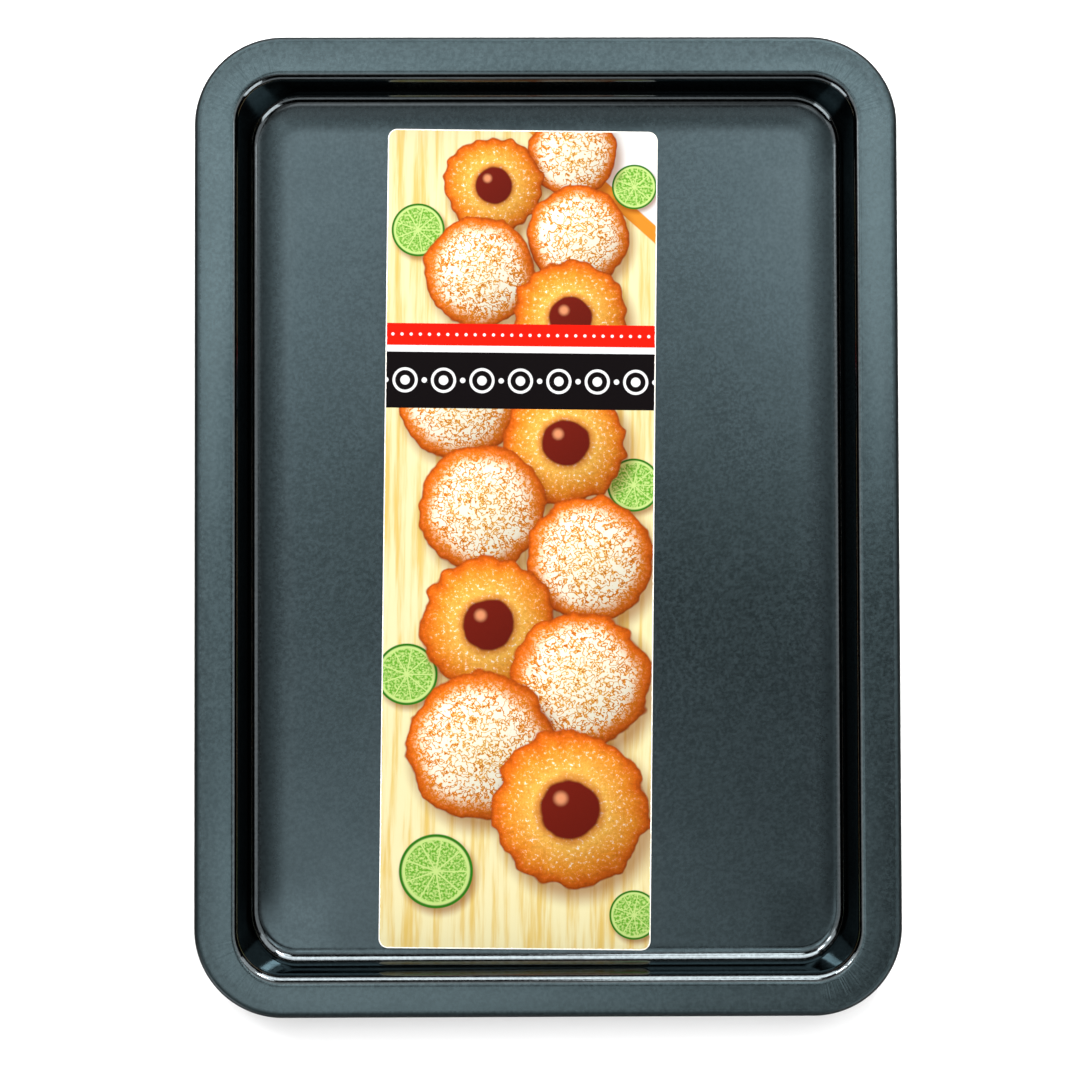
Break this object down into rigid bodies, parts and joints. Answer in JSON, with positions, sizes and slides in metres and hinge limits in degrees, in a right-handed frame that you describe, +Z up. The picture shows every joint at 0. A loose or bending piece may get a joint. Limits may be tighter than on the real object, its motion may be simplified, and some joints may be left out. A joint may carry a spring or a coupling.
{
  "type": "cookie sheet",
  "caption": "Shallow rectangular baking tray pressed from coated steel, with a wide flat rim rolled round a wire at its edge, and a printed insert card lying on its floor.",
  "frame": {"origin": "under the middle of the tray, on the surface that it stands on", "axes": "+Y along the tray, +X across it, +Z up out of its hollow"},
  "size_m": [0.335, 0.466, 0.02],
  "materials": {
    "coated_steel": "satin non-stick coat, dark blue-grey with a fine metallic mottle",
    "bare_wire": "drawn bright wire",
    "card_board": "white board, printed and lightly varnished on its upper face",
    "glue": "translucent peelable glue"
  },
  "bodies": {
    "tray": {"tray_sheet": "coated_steel", "rim_wire": "bare_wire"},
    "card": {"printed_card": "card_board", "glue_spots": "glue"}
  },
  "joints": [
    {"name": "card_lift", "type": "slide", "parent": "tray", "child": "card", "axis": [0, 0, 1], "range_m": [0, 0.06]}
  ]
}
